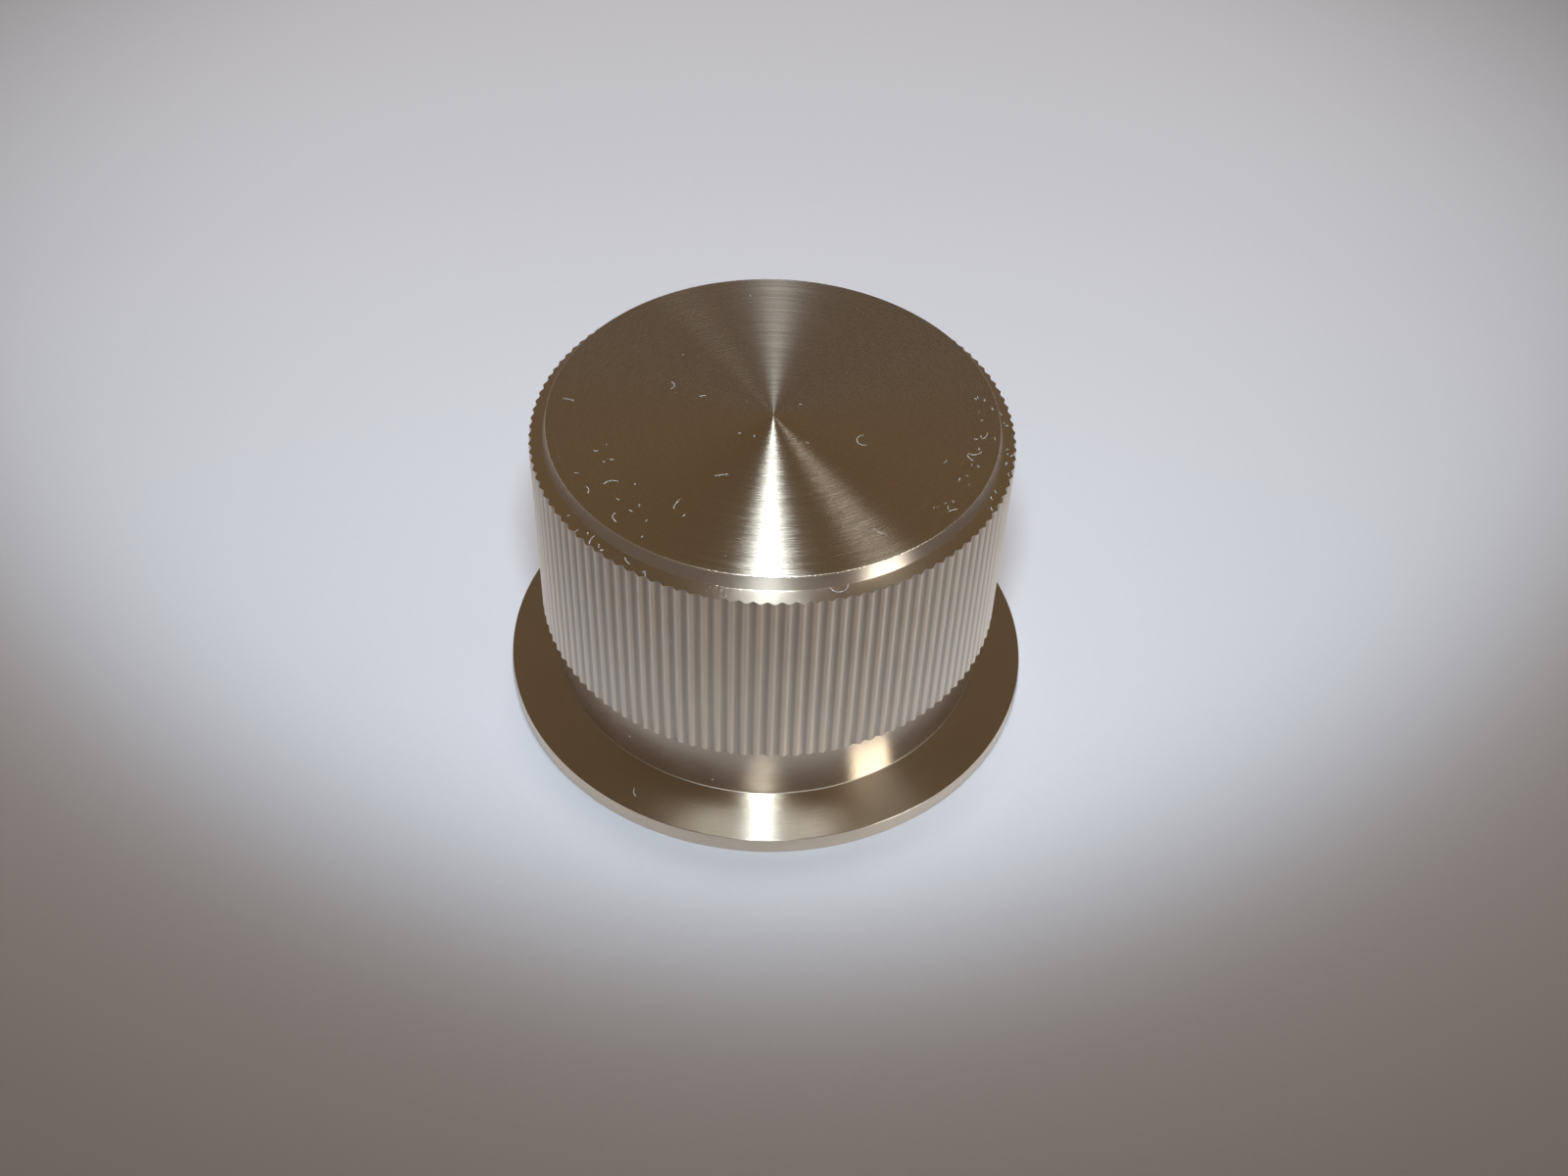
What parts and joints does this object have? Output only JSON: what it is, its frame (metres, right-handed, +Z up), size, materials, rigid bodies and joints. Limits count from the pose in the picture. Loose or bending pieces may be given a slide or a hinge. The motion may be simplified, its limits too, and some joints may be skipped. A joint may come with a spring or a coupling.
{
  "type": "tuning knob",
  "caption": "Round metal tuning knob with a raised turned top, a straight fluted grip, a smooth neck and a thin sloping flange, clamped on a round shaft by a grub screw.",
  "frame": {"origin": "centre of the flange's underside, on the shaft axis", "axes": "+Z up the shaft axis from the flange to the crown, +Y towards the mouth of the grub screw's hole"},
  "size_m": [0.044, 0.044, 0.0268],
  "materials": {
    "champagne_aluminium": "turned, with fine concentric lines on the top and the flange, champagne tint",
    "screw_steel": "blackened steel"
  },
  "bodies": {
    "root": {"knob_body": "champagne_aluminium", "grub_screw": "screw_steel"}
  },
  "joints": []
}
